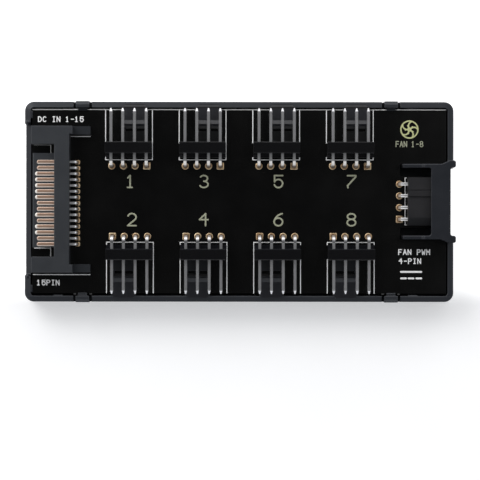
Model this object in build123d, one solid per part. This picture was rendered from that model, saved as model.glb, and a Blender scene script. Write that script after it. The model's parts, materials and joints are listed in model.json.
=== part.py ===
from build123d import *
import os

# Eight-channel fan hub: a moulded tray that holds a circuit board with snap hooks.
# Millimetres. +X points to the control input, +Z up, origin under the middle of the tray.

# Circuit board
BOARD_LENGTH = 90.0
BOARD_WIDTH = 40.4
BOARD_THICK = 1.6
BOARD_BEVEL = 0.3           # scored long edges
BOARD_GAP_ENDS = 0.3        # from the board's ends to the tray
BOARD_GAP_SIDES = 0.25      # from the board's long edges to the tray

# Tray
TRAY_WALL = 1.3
TRAY_FLOOR = 1.8
TRAY_CORNER = 2.0
ROOM_UNDER_BOARD = 4.4
RIM_OVER_BOARD = 0.35
RIM_FALL = 0.35             # slope of the rim from its inner to its outer edge
RIM_ROUND = 0.45
FOOT_BEVEL = 0.5
SUPPORT_COUNT = 5
SUPPORT_SPACING = 14.0
SUPPORT_THICK = 1.2
SUPPORT_REACH = 1.6
PILLAR_RADIUS = 1.5
PILLAR_INSET = 4.0          # from the board's left end
RIB_FROM_LEFT = 5.65        # from the board's ends
RIB_FROM_RIGHT = 7.2
RIB_LENGTH = 2.0
RIB_GAP = 0.05

# Snap hooks on the long walls
CLIP_FROM_LEFT = 11.0       # from the board's ends
CLIP_FROM_RIGHT = 12.0
CLIP_WIDTH = 2.9
CLIP_SLOT = 0.55
CLIP_ROOT = 3.6             # solid wall left under the slots, above the floor
CLIP_PROUD = 0.1            # the hook's back stands out from the wall
CLIP_HEIGHT = 1.3           # top of the hook over the board
HOOK_WIDTH = 1.95
HOOK_REACH = 0.4            # overlap on the board
HOOK_NOSE = 0.4
HOOK_GAP = 0.05
HOOK_FACE = 0.15            # lean of the steep face over the nose
HOOK_BACK = 0.55            # set-back of the hook's outer slope
HOOK_SHOULDER = 0.35        # from the rim to the foot of that slope
LEDGE_FROM_EDGE = 1.3       # fixed ledges on the left wall
LEDGE_LENGTH = 1.6
LEDGE_REACH = 0.12
LEDGE_NOSE = 0.1

# Fan headers
HEADERS_PER_ROW = 4
HEADER_SPACING = 16.0
ODD_SHIFT = 0.1             # of the odd row along X
EVEN_SHIFT = 0.28
ODD_INSET = 0.0             # from the board's edge to the tips
EVEN_INSET = 0.24
PIN_PITCH = 2.54
PIN_COUNT = 4
PIN_SIZE = 0.64
PIN_REACH = 12.42           # from the leg to the tip
PIN_HEIGHT = 3.8
PIN_BEND = 1.15
PIN_TIP = 0.7
PIN_TIP_SIZE = 0.26
PIN_TAIL = 1.3              # below the board
BLOCK_REAR = 2.69           # from the row of legs
BLOCK_PAST_PINS = 1.2       # from the end pins to the block's ends
BLOCK_THICK = 2.38
BLOCK_HEIGHT = 6.1
BLOCK_BEVEL = 0.08
FOOT_LENGTH = 0.87
FOOT_HEIGHT = 2.4
TONGUE_WIDTH = 5.3
TONGUE_THICK = 1.15
TONGUE_FALL = 0.25          # slope of its top to the tip
TONGUE_GAP = 0.1            # over the rim of the tray
TONGUE_PAST_TIPS = 0.9
TONGUE_CORNER = 0.6
TONGUE_ROOT_THICK = 0.9
RIDGE_FROM_TIP = 3.44
RIDGE_LENGTH = 0.82
RIDGE_RISE = 0.4
RAMP_LENGTH = 0.45          # steep part of the slope behind the ridge
RAMP_FOOT = 0.2
WINDOW_FROM_RIDGE = 1.04
WINDOW_LENGTH = 0.55
WINDOW_RAIL = 0.6

# Power connector
CONTACT_ORDER = "SSLLLLLSSLSLLSS"     # short and long, from the keyed end
CONTACT_PITCH = 1.27
CONTACT_ROW_Y = -0.36       # middle of the row
CONTACT_WIDTH = 0.9
CONTACT_THICK = 0.35
CONTACT_PROUD = 0.15
CONTACT_BEVEL = 0.14
CONTACT_TIP = 0.26          # cut corners of the tip
CONTACT_LONG = 4.25         # from the rear block to the tip
CONTACT_SHORT = 3.85
TAIL_WIDTH = 0.6
TAIL_REACH = 1.45           # from the rear block to the leg
TAIL_BEND = 0.45
POWER_SETBACK = 0.2         # from the board's left end to the guide arms
POWER_HEIGHT = 5.8
POWER_BEVEL = 0.1
GUIDE_LENGTH = 4.95
GUIDE_WIDTH_HIGH = 3.93
GUIDE_WIDTH_LOW = 3.42
SLOT_HIGH = 1.87
SLOT_LOW = 2.0
REAR_BLOCK = 3.25
EAR_ROOT = 0.7
EAR_LENGTH = 3.7
EAR_WIDTH = 1.75
EAR_HEIGHT = 3.0
BLADE_LENGTH = 4.75
BLADE_HEIGHT = 2.4          # from the board to the blade
BLADE_THICK = 1.2
BLADE_MARGIN = 0.69         # past the last contact's middle
BLADE_BEVEL = 0.15
KEY_WIDTH = 1.03
KEY_MARGIN = 0.9
KEY_DROP = 1.1
MOUTH_GAP = 0.32            # from the power connector to the posts of the left wall
MOUTH_POST_BEVEL = 0.4
MOUTH_SILL = 6.4
SILL_INSET = 0.16           # the sill lies behind the outer face
SILL_FALL = 0.4             # slope of the sill to its outer edge

# Control input
CONTROL_Y = 0.05
CONTROL_LENGTH = 8.85
CONTROL_WIDTH = 10.4
CONTROL_HEIGHT = 5.7
CONTROL_PAST_BOARD = 0.3
CONTROL_WALL = 0.9
CONTROL_BACK = 2.4
CONTROL_STEP = 0.45         # drop between the two levels of its top
CONTROL_STEP_Y = 1.13
CONTROL_GROOVE_Y = 2.35
CONTROL_GROOVE = 0.16
CONTROL_SLOPE_Y = -3.5
CONTROL_SLOPE_DROP = 0.8
CONTROL_LEG_SETBACK = 1.58  # from the housing to the row of legs
CONTROL_PIN_HEIGHT = 2.75
CONTROL_PIN_SHORT = 1.2     # tips inside the mouth
KEY_SLOT_WIDTH = 4.6

# Portal of the tray round the control input
PORTAL_GAP = 2.14           # from the housing to the arms
PORTAL_ARM = 0.76
PORTAL_ARM_REACH = 9.96     # arms run in from the right wall
PORTAL_SHOULDER = 2.0       # from the step of the arms to the roof
PORTAL_STEP = 0.55          # drop of the arms past the step
PORTAL_RAMP = 0.55
PORTAL_FLARE_LENGTH = 1.7
PORTAL_FLARE = 0.77
ROOF_LENGTH = 4.14
ROOF_THICK = 1.0
ROOF_GAP = 0.3
ROOF_CORNER = 0.5
POST_CORNER = 0.45
MOUTH_INSET = 1.14          # the mouth lies behind the outer face
PORTAL_BOARD_GAP = 0.35
PORTAL_BOARD_FIT = 0.1      # from the arms' outer faces to the board

# Parts under the board
CHIP_LENGTH = 4.9
CHIP_WIDTH = 3.9
CHIP_THICK = 1.5
CHIP_STANDOFF = 0.15
CHIP_BEVEL = 0.3
LEAD_COUNT = 4
LEAD_PITCH = 1.27
LEAD_WIDTH = 0.42
LEAD_THICK = 0.2
LEAD_SPAN = 6.0
LEAD_FOOT = 0.6
BUFFER_CHIP_X = 17.0
SWITCH_CHIP_X = -17.0
FUSE_X = -27.0
FUSE_SIZE = (3.2, 4.5, 1.0)
BULK_X = (-8.0, 0.0)
BULK_SIZE = (6.0, 3.2, 2.8)
SMALL_SIZE = (2.0, 1.25, 0.6)
SMALL_PITCH = 2.6
RESISTOR_X = 9.0
CERAMIC_X = 25.0
SMALL_COUNT = 3

# Magnets in pockets of the floor
MAGNET_X = 22.0
MAGNET_SIZE = (20.0, 8.0, 1.6)
MAGNET_POCKET = 0.8
MAGNET_GAP = 0.1

# Two places nearer than this are the same
CLOSE = 0.001

# Levels and edges that follow from the sizes above
BOARD_BOTTOM = TRAY_FLOOR + ROOM_UNDER_BOARD
BOARD_TOP = BOARD_BOTTOM + BOARD_THICK
RIM = BOARD_TOP + RIM_OVER_BOARD
BOARD_END = BOARD_LENGTH / 2
BOARD_EDGE = BOARD_WIDTH / 2
INNER_END = BOARD_END + BOARD_GAP_ENDS
INNER_EDGE = BOARD_EDGE + BOARD_GAP_SIDES
OUTER_END = INNER_END + TRAY_WALL
OUTER_EDGE = INNER_EDGE + TRAY_WALL
BLOCK_FRONT = BLOCK_REAR + BLOCK_THICK
HEADER_WIDTH = (PIN_COUNT - 1) * PIN_PITCH + 2 * BLOCK_PAST_PINS
GUIDE_TIP = -BOARD_END + POWER_SETBACK
BLOCK_FACE = GUIDE_TIP + GUIDE_LENGTH
BLOCK_BACK = BLOCK_FACE + REAR_BLOCK
CONTACT_COUNT = len(CONTACT_ORDER)
CONTACT_SPAN = (CONTACT_COUNT - 1) * CONTACT_PITCH / 2
BLADE_LOW = CONTACT_ROW_Y - CONTACT_SPAN - BLADE_MARGIN
BLADE_HIGH = CONTACT_ROW_Y + CONTACT_SPAN + KEY_MARGIN + KEY_WIDTH
POWER_LOW = BLADE_LOW - SLOT_LOW - GUIDE_WIDTH_LOW
POWER_HIGH = BLADE_HIGH + SLOT_HIGH + GUIDE_WIDTH_HIGH
BLADE_TOP = BOARD_TOP + BLADE_HEIGHT + BLADE_THICK
CONTACT_TOP = BLADE_TOP + CONTACT_PROUD
TAIL_X = BLOCK_BACK + TAIL_REACH
CONTROL_FRONT = BOARD_END + CONTROL_PAST_BOARD
CONTROL_REAR = CONTROL_FRONT - CONTROL_LENGTH
CONTROL_LEG_X = CONTROL_REAR - CONTROL_LEG_SETBACK
PORTAL_INNER = CONTROL_WIDTH / 2 + PORTAL_GAP
PORTAL_OUTER = PORTAL_INNER + PORTAL_ARM
PORTAL_TOP = BOARD_TOP + CONTROL_HEIGHT + ROOF_GAP + ROOF_THICK
MOUTH_FACE = OUTER_END - MOUTH_INSET
BOARD_TONGUE = CONTROL_WIDTH / 2 + abs(CONTROL_Y) + PORTAL_BOARD_GAP


def slab(x0, x1, y0, y1, z0, z1):
    """Block between two opposite corners."""
    middle = Pos((x0 + x1) / 2, (y0 + y1) / 2, (z0 + z1) / 2)
    return middle * Box(x1 - x0, y1 - y0, z1 - z0)


def side_profile(points, width):
    """Section drawn in Y and Z, carried along X to both sides of the middle."""
    face = Plane.YZ * make_face(Polyline(*points, close=True))
    return extrude(face, amount=width / 2, both=True)


def plan_profile(points, low, high):
    """Outline drawn in X and Y, raised from one level to another."""
    face = Pos(0, 0, low) * make_face(Polyline(*points, close=True))
    return extrude(face, amount=high - low)


def bent_strip(low, high, reach, bend, thick):
    """Side view of a strip: a leg on the upright axis, a round bend and a level run to its reach."""
    half = thick / 2
    back = FilletPolyline((-half, low), (-half, high + half), (reach, high + half), radius=bend + half)
    front = FilletPolyline((reach, high - half), (half, high - half), (half, low), radius=bend - half)
    ends = [Line(back @ 1, front @ 0), Line(front @ 1, back @ 0)]
    return make_face(back.edges() + front.edges() + ends)


def pin_tip():
    """End of a square pin, pointing to +Y: the same taper in the plan and in the side view."""
    half = PIN_SIZE / 2
    end = PIN_TIP_SIZE / 2
    taper = [(-half, 0), (half, 0), (end, PIN_TIP), (-end, PIN_TIP)]
    plan = plan_profile(taper, -half, half)
    side = side_profile([(y, across) for across, y in taper], PIN_SIZE)
    return plan & side


def bent_pin(reach, height, drop):
    """Square pin: a level run along +Y to a tapered tip, a round bend and a leg down."""
    shoulder = reach - PIN_TIP
    side = Plane.YZ * bent_strip(-drop, height, shoulder, PIN_BEND, PIN_SIZE)
    return extrude(side, amount=PIN_SIZE / 2, both=True) + Pos(0, shoulder, height) * pin_tip()


def pin_offsets():
    """Places of the pins along their row, about its middle."""
    return [(i - (PIN_COUNT - 1) / 2) * PIN_PITCH for i in range(PIN_COUNT)]


def pin_row(reach, height):
    """Four separate pins side by side, on the board's top at the origin."""
    pin = bent_pin(reach, height, BOARD_THICK + PIN_TAIL)
    return [Pos(offset, 0, 0) * pin for offset in pin_offsets()]


def fan_header():
    """Header with the legs along X at the origin: a block with a foot, and a keyed tongue."""
    block = side_profile([
        (BLOCK_REAR - FOOT_LENGTH, 0),
        (BLOCK_FRONT, 0),
        (BLOCK_FRONT, BLOCK_HEIGHT - BLOCK_BEVEL),
        (BLOCK_FRONT - BLOCK_BEVEL, BLOCK_HEIGHT),
        (BLOCK_REAR + BLOCK_BEVEL, BLOCK_HEIGHT),
        (BLOCK_REAR, BLOCK_HEIGHT - BLOCK_BEVEL),
        (BLOCK_REAR, FOOT_HEIGHT),
        (BLOCK_REAR - FOOT_LENGTH, FOOT_HEIGHT),
    ], HEADER_WIDTH)
    low = RIM_OVER_BOARD + TONGUE_GAP
    high = low + TONGUE_THICK
    root = low + TONGUE_ROOT_THICK
    tip = PIN_REACH + TONGUE_PAST_TIPS
    ridge_foot = tip - RIDGE_FROM_TIP
    ridge = ridge_foot - RIDGE_LENGTH
    tongue = side_profile([
        (BLOCK_FRONT, low),
        (tip, low),
        (tip, high - TONGUE_FALL),
        (ridge_foot, high),
        (ridge, high + RIDGE_RISE),
        (ridge - RAMP_LENGTH, root + RAMP_FOOT),
        (ridge - WINDOW_FROM_RIDGE, root),
        (BLOCK_FRONT, root),
    ], TONGUE_WIDTH)
    tongue = chamfer(tongue.edges().filter_by(Axis.Z).group_by(Axis.Y)[-1], TONGUE_CORNER)
    window_far = ridge - WINDOW_FROM_RIDGE
    half = TONGUE_WIDTH / 2 - WINDOW_RAIL
    tongue -= slab(-half, half, window_far - WINDOW_LENGTH, window_far, low, root)
    header = block + Pos(PIN_PITCH / 2, 0, 0) * tongue
    for pin in pin_row(PIN_REACH, PIN_HEIGHT):
        header -= pin
    return header


def header_places():
    """Number and place of each header: odd numbers on the +Y side, even ones turned round."""
    places = {}
    legs = BOARD_EDGE - PIN_REACH
    for i in range(HEADERS_PER_ROW):
        x = (i - (HEADERS_PER_ROW - 1) / 2) * HEADER_SPACING
        places[2 * i + 1] = Pos(x + ODD_SHIFT, legs - ODD_INSET, BOARD_TOP)
        places[2 * i + 2] = Pos(x + EVEN_SHIFT, EVEN_INSET - legs, BOARD_TOP) * Rot(0, 0, 180)
    return places


def control_place():
    """Place of the control input's legs: the row runs along Y and the pins point to +X."""
    return Pos(CONTROL_LEG_X, CONTROL_Y, BOARD_TOP) * Rot(0, 0, -90)


def contact_rows():
    """Y of each contact, counted from the keyed end."""
    return [CONTACT_ROW_Y + CONTACT_SPAN - i * CONTACT_PITCH for i in range(CONTACT_COUNT)]


def power_contact(length):
    """Flat contact with a bevelled tip on the blade, and a tail bent down through the board."""
    tip = BLOCK_FACE - length
    inside = BLOCK_FACE + REAR_BLOCK / 2
    outline = Pos((tip + inside) / 2, 0, CONTACT_TOP - CONTACT_THICK) * Rectangle(inside - tip, CONTACT_WIDTH)
    outline = chamfer(outline.vertices().group_by(Axis.X)[0], CONTACT_TIP)
    flat = extrude(outline, amount=CONTACT_THICK)
    rim = [edge for edge in flat.faces().sort_by(Axis.Z)[-1].edges() if edge.center().X < BLOCK_FACE]
    flat = chamfer(rim, CONTACT_BEVEL)
    level = CONTACT_TOP - CONTACT_THICK / 2
    strip = bent_strip(BOARD_BOTTOM - PIN_TAIL, level, TAIL_X - inside, TAIL_BEND, CONTACT_THICK)
    tail = Plane((TAIL_X, 0, 0), x_dir=(-1, 0, 0), z_dir=(0, 1, 0)) * strip
    return flat + extrude(tail, amount=TAIL_WIDTH / 2, both=True)


def power_contacts(length, letter):
    """The contacts of one length, each a separate solid."""
    contact = power_contact(length)
    return [Pos(0, y, 0) * contact for y, kind in zip(contact_rows(), CONTACT_ORDER) if kind == letter]


def power_connector(contacts):
    """Open-topped connector: two guide arms, a rear block with ears, and a keyed blade."""
    outline = [
        (GUIDE_TIP, POWER_HIGH),
        (GUIDE_TIP, POWER_HIGH - GUIDE_WIDTH_HIGH),
        (BLOCK_FACE, POWER_HIGH - GUIDE_WIDTH_HIGH),
        (BLOCK_FACE, POWER_LOW + GUIDE_WIDTH_LOW),
        (GUIDE_TIP, POWER_LOW + GUIDE_WIDTH_LOW),
        (GUIDE_TIP, POWER_LOW),
        (BLOCK_BACK + EAR_ROOT, POWER_LOW),
        (BLOCK_BACK + EAR_ROOT, POWER_LOW + EAR_WIDTH),
        (BLOCK_BACK, POWER_LOW + EAR_WIDTH),
        (BLOCK_BACK, POWER_HIGH - EAR_WIDTH),
        (BLOCK_BACK + EAR_ROOT, POWER_HIGH - EAR_WIDTH),
        (BLOCK_BACK + EAR_ROOT, POWER_HIGH),
    ]
    body = plan_profile(outline, BOARD_TOP, BOARD_TOP + POWER_HEIGHT)
    body = chamfer(body.faces().sort_by(Axis.Z)[-1].edges(), POWER_BEVEL)
    ear_start = BLOCK_BACK + EAR_ROOT
    ear_end = ear_start + EAR_LENGTH
    ear_top = BOARD_TOP + EAR_HEIGHT
    body += slab(ear_start, ear_end, POWER_LOW, POWER_LOW + EAR_WIDTH, BOARD_TOP, ear_top)
    body += slab(ear_start, ear_end, POWER_HIGH - EAR_WIDTH, POWER_HIGH, BOARD_TOP, ear_top)
    blade_low = BLADE_TOP - BLADE_THICK
    tip = BLOCK_FACE - BLADE_LENGTH
    blade = slab(tip, BLOCK_FACE, BLADE_LOW, BLADE_HIGH, blade_low, BLADE_TOP)
    blade += slab(tip, BLOCK_FACE, BLADE_HIGH - KEY_WIDTH, BLADE_HIGH, blade_low - KEY_DROP, BLADE_TOP)
    blade = chamfer(blade.edges().filter_by(Axis.Y).group_by(Axis.X)[0], BLADE_BEVEL)
    body += blade
    for contact in contacts:
        body -= contact
    return body


def control_header(pins):
    """Shrouded housing open to +X, with a stepped and grooved top, a keyed slot below and four pins."""
    half = CONTROL_WIDTH / 2
    lower = CONTROL_HEIGHT - CONTROL_STEP
    section = [
        (-half, 0),
        (half, 0),
        (half, CONTROL_HEIGHT),
        (CONTROL_STEP_Y, CONTROL_HEIGHT),
        (CONTROL_STEP_Y, lower),
        (CONTROL_SLOPE_Y, lower),
        (-half, lower - CONTROL_SLOPE_DROP),
    ]
    housing = side_profile(section, CONTROL_LENGTH)
    mouth = CONTROL_LENGTH / 2
    groove_side = CONTROL_GROOVE_Y + CONTROL_GROOVE
    groove_floor = CONTROL_HEIGHT - CONTROL_GROOVE
    housing -= slab(-mouth, mouth, CONTROL_GROOVE_Y, groove_side, groove_floor, CONTROL_HEIGHT)
    back = CONTROL_BACK - mouth
    inner = half - CONTROL_WALL
    roof = lower - CONTROL_SLOPE_DROP - CONTROL_WALL
    housing -= slab(back, mouth, -inner, inner, CONTROL_WALL, roof)
    key = KEY_SLOT_WIDTH / 2
    housing -= Pos(0, -PIN_PITCH / 2, 0) * slab(back, mouth, -key, key, 0, CONTROL_WALL)
    housing = Pos(CONTROL_REAR + mouth, CONTROL_Y, BOARD_TOP) * housing
    for pin in pins:
        housing -= pin
    return housing


def board(legs, tails):
    """Board with scored edges, two slots for the portal's arms, and a hole soldered round every leg."""
    plate = slab(-BOARD_END, BOARD_END, -BOARD_EDGE, BOARD_EDGE, BOARD_BOTTOM, BOARD_TOP)
    plate = chamfer(plate.edges().filter_by(Axis.X), BOARD_BEVEL)
    arm_end = INNER_END - PORTAL_ARM_REACH - PORTAL_BOARD_GAP
    flare_start = INNER_END - PORTAL_FLARE_LENGTH - PORTAL_BOARD_FIT
    outer = PORTAL_OUTER + PORTAL_BOARD_FIT
    slot = plan_profile([
        (arm_end, BOARD_TONGUE),
        (INNER_END, BOARD_TONGUE),
        (INNER_END, outer + PORTAL_FLARE),
        (flare_start, outer),
        (arm_end, outer),
    ], BOARD_BOTTOM, BOARD_TOP)
    plate -= slot
    plate -= mirror(slot, about=Plane.XZ)
    middle = (BOARD_BOTTOM + BOARD_TOP) / 2
    holes = [Pos(x, y, middle) * Box(PIN_SIZE, PIN_SIZE, BOARD_THICK) for x, y in legs]
    holes += [Pos(x, y, middle) * Box(CONTACT_THICK, TAIL_WIDTH, BOARD_THICK) for x, y in tails]
    return plate - holes


def leg_places():
    """Plan places of all header legs and of all contact tails."""
    legs = []
    for place in list(header_places().values()) + [control_place()]:
        for offset in pin_offsets():
            spot = (place * Pos(offset, 0, 0)).position
            legs.append((spot.X, spot.Y))
    tails = [(TAIL_X, y) for y in contact_rows()]
    return legs, tails


def snap_hook():
    """Head of a snap hook on the +Y wall: a sloping back, a steep inner face and a nose over the board."""
    nose = BOARD_EDGE - HOOK_REACH
    under = BOARD_TOP + HOOK_GAP
    top = BOARD_TOP + CLIP_HEIGHT
    back = OUTER_EDGE - HOOK_BACK
    root = TRAY_FLOOR + CLIP_ROOT
    head = side_profile([
        (INNER_EDGE, root),
        (OUTER_EDGE, root),
        (OUTER_EDGE + CLIP_PROUD, root + CLIP_PROUD),
        (OUTER_EDGE + CLIP_PROUD, RIM + HOOK_SHOULDER),
        (back, top),
        (INNER_EDGE, top),
    ], CLIP_WIDTH)
    catch = side_profile([
        (nose, under),
        (INNER_EDGE, under),
        (INNER_EDGE, top),
        (INNER_EDGE - HOOK_FACE, under + HOOK_NOSE),
        (nose, under + HOOK_NOSE),
    ], HOOK_WIDTH)
    return head + catch


def portal_side():
    """One side of the portal, on +Y: a stepped arm, its flare and the outer post."""
    start = INNER_END - PORTAL_ARM_REACH
    step = MOUTH_FACE - ROOF_LENGTH - PORTAL_SHOULDER
    low = PORTAL_TOP - PORTAL_STEP
    face = Plane.XZ * make_face(Polyline(
        (start, 0),
        (OUTER_END - TRAY_WALL / 2, 0),
        (OUTER_END - TRAY_WALL / 2, PORTAL_TOP),
        (step + PORTAL_RAMP, PORTAL_TOP),
        (step, low),
        (start, low),
        close=True,
    ))
    arm = Pos(0, PORTAL_OUTER, 0) * extrude(face, amount=PORTAL_ARM)
    edge = PORTAL_OUTER + PORTAL_FLARE
    flare = plan_profile([
        (INNER_END - PORTAL_FLARE_LENGTH, PORTAL_OUTER),
        (INNER_END, PORTAL_OUTER),
        (INNER_END, edge),
    ], 0, PORTAL_TOP)
    post = slab(INNER_END, OUTER_END, PORTAL_INNER, edge, 0, PORTAL_TOP)
    post = fillet(post.edges().filter_by(Axis.Z).group_by(Axis.X)[-1], POST_CORNER)
    return arm + flare + post


def roof_corners(shell):
    """Upright edges where the roof and the mouth's wall meet the arms."""
    faces = (MOUTH_FACE, MOUTH_FACE - ROOF_LENGTH)
    return [
        edge for edge in shell.edges().filter_by(Axis.Z)
        if abs(abs(edge.center().Y) - PORTAL_INNER) < CLOSE
        and min(abs(edge.center().X - x) for x in faces) < CLOSE
    ]


def tray():
    """Moulded tray: floor, walls with two mouths, supports, snap hooks and the portal."""
    shell = extrude(RectangleRounded(2 * OUTER_END, 2 * OUTER_EDGE, TRAY_CORNER), amount=RIM)
    top = shell.faces().sort_by(Axis.Z)[-1]
    shell = chamfer(top.edges(), TRAY_WALL, RIM_FALL, reference=top)
    shell = fillet(shell.edges().group_by(Axis.Z)[-3], RIM_ROUND)
    shell = chamfer(shell.faces().sort_by(Axis.Z)[0].edges(), FOOT_BEVEL)
    corner = TRAY_CORNER - TRAY_WALL
    hollow = RectangleRounded(2 * INNER_END, 2 * INNER_EDGE, corner)
    shell -= Pos(0, 0, TRAY_FLOOR) * extrude(hollow, amount=RIM)

    # Left mouth: a sloping sill behind the outer face, with a round-ended post each side
    post_low = POWER_LOW - MOUTH_GAP - TRAY_WALL / 2
    post_high = POWER_HIGH + MOUTH_GAP + TRAY_WALL / 2
    over_sill = Plane.XZ * make_face(Polyline(
        (-OUTER_END, 0),
        (SILL_INSET - OUTER_END, 0),
        (SILL_INSET - OUTER_END, MOUTH_SILL - SILL_FALL),
        (-INNER_END, MOUTH_SILL),
        (-INNER_END, RIM),
        (-OUTER_END, RIM),
        close=True,
    ))
    shell -= Pos(0, post_high, 0) * extrude(over_sill, amount=post_high - post_low)
    post = Cylinder(TRAY_WALL / 2, RIM - FOOT_BEVEL)
    post = chamfer(post.faces().sort_by(Axis.Z)[-1].edges(), MOUTH_POST_BEVEL)
    for y in (post_low, post_high):
        shell += Pos(-INNER_END - TRAY_WALL / 2, y, (RIM + FOOT_BEVEL) / 2) * post

    # Right mouth, behind the outer face, and the portal over it
    shell -= slab(INNER_END, OUTER_END, -PORTAL_INNER, PORTAL_INNER, 0, RIM)
    shell += slab(MOUTH_FACE - TRAY_WALL, MOUTH_FACE, -PORTAL_INNER, PORTAL_INNER, 0, BOARD_BOTTOM)
    side = portal_side()
    shell += side
    shell += mirror(side, about=Plane.XZ)
    roof = Rectangle(ROOF_LENGTH, 2 * PORTAL_INNER)
    roof = Pos(MOUTH_FACE - ROOF_LENGTH / 2, 0, PORTAL_TOP - ROOF_THICK) * roof
    shell += extrude(roof, amount=ROOF_THICK)
    shell = fillet(roof_corners(shell), ROOF_CORNER)

    # Supports under the board and ribs beside it
    for i in range(SUPPORT_COUNT):
        x = (i - (SUPPORT_COUNT - 1) / 2) * SUPPORT_SPACING
        rib = slab(x - SUPPORT_THICK / 2, x + SUPPORT_THICK / 2, INNER_EDGE - SUPPORT_REACH, INNER_EDGE,
                   TRAY_FLOOR, BOARD_BOTTOM)
        shell += rib
        shell += mirror(rib, about=Plane.XZ)
    for x in (RIB_FROM_LEFT - BOARD_END, BOARD_END - RIB_FROM_RIGHT):
        rib = slab(x - RIB_LENGTH / 2, x + RIB_LENGTH / 2, BOARD_EDGE + RIB_GAP, INNER_EDGE,
                   TRAY_FLOOR, BOARD_TOP)
        shell += rib
        shell += mirror(rib, about=Plane.XZ)
    pillar = Cylinder(PILLAR_RADIUS, ROOM_UNDER_BOARD)
    for y in (POWER_LOW, POWER_HIGH):
        shell += Pos(PILLAR_INSET - BOARD_END, y, TRAY_FLOOR + ROOM_UNDER_BOARD / 2) * pillar
    under = BOARD_TOP + HOOK_GAP
    wedge = Plane.XZ * make_face(Polyline(
        (-INNER_END, under),
        (LEDGE_REACH - BOARD_END, under),
        (LEDGE_REACH - BOARD_END, under + LEDGE_NOSE),
        (-INNER_END, RIM),
        close=True,
    ))
    ledge = extrude(wedge, amount=LEDGE_LENGTH / 2, both=True)
    for y in (LEDGE_FROM_EDGE - BOARD_EDGE, BOARD_EDGE - LEDGE_FROM_EDGE):
        shell += Pos(0, y, 0) * ledge

    # Snap hooks
    head = snap_hook()
    for x in (CLIP_FROM_LEFT - BOARD_END, BOARD_END - CLIP_FROM_RIGHT):
        for turn in (0, 180):
            place = Rot(0, 0, turn) * Pos(x if turn == 0 else -x, 0, 0)
            for sign in (-1, 1):
                middle = sign * (CLIP_WIDTH + CLIP_SLOT) / 2
                shell -= place * slab(middle - CLIP_SLOT / 2, middle + CLIP_SLOT / 2, INNER_EDGE, OUTER_EDGE,
                                      TRAY_FLOOR + CLIP_ROOT, RIM)
            shell += place * head

    # Pockets for the magnets
    length, width = MAGNET_SIZE[:2]
    for x in (-MAGNET_X, MAGNET_X):
        shell -= slab(x - length / 2 - MAGNET_GAP, x + length / 2 + MAGNET_GAP, -width / 2 - MAGNET_GAP,
                      width / 2 + MAGNET_GAP, TRAY_FLOOR - MAGNET_POCKET, TRAY_FLOOR)
    return shell


def magnet(x):
    """Flat bar magnet in its pocket of the floor."""
    length, width, thick = MAGNET_SIZE
    floor = TRAY_FLOOR - MAGNET_POCKET
    return slab(x - length / 2, x + length / 2, -width / 2, width / 2, floor, floor + thick)


def under_board(size, x, y):
    """Block part soldered under the board."""
    length, width, thick = size
    low = BOARD_BOTTOM - thick
    return slab(x - length / 2, x + length / 2, y - width / 2, y + width / 2, low, BOARD_BOTTOM)


def chip(x):
    """Chip body hung under the board, with bevelled lower edges."""
    top = BOARD_BOTTOM - CHIP_STANDOFF
    body = slab(x - CHIP_LENGTH / 2, x + CHIP_LENGTH / 2, -CHIP_WIDTH / 2, CHIP_WIDTH / 2,
                top - CHIP_THICK, top)
    return chamfer(body.faces().sort_by(Axis.Z)[0].edges(), CHIP_BEVEL)


def chip_leads(x):
    """Stepped leads from both long sides of a chip up to the board."""
    shoulder = BOARD_BOTTOM - CHIP_STANDOFF - CHIP_THICK / 2
    knee = LEAD_SPAN / 2 - LEAD_FOOT
    lead = side_profile([
        (CHIP_WIDTH / 2, shoulder),
        (knee - LEAD_THICK, shoulder),
        (knee - LEAD_THICK, BOARD_BOTTOM),
        (LEAD_SPAN / 2, BOARD_BOTTOM),
        (LEAD_SPAN / 2, BOARD_BOTTOM - LEAD_THICK),
        (knee, BOARD_BOTTOM - LEAD_THICK),
        (knee, shoulder - LEAD_THICK),
        (CHIP_WIDTH / 2, shoulder - LEAD_THICK),
    ], LEAD_WIDTH)
    leads = []
    for i in range(LEAD_COUNT):
        offset = (i - (LEAD_COUNT - 1) / 2) * LEAD_PITCH
        leads.append(Pos(x + offset, 0, 0) * lead)
        leads.append(Pos(x + offset, 0, 0) * Rot(0, 0, 180) * lead)
    return leads


def small_parts(x):
    """Row of small block parts across the board's middle."""
    rows = [(i - (SMALL_COUNT - 1) / 2) * SMALL_PITCH for i in range(SMALL_COUNT)]
    return [under_board(SMALL_SIZE, x, y) for y in rows]


def save(name, shape):
    """Writes one piece, or a group of separate solids, to its own file."""
    solids = shape if isinstance(shape, list) else [shape]
    piece = solids[0] if len(solids) == 1 else Compound(children=solids)
    export_step(piece, os.path.join("parts", name + ".step"))


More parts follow.
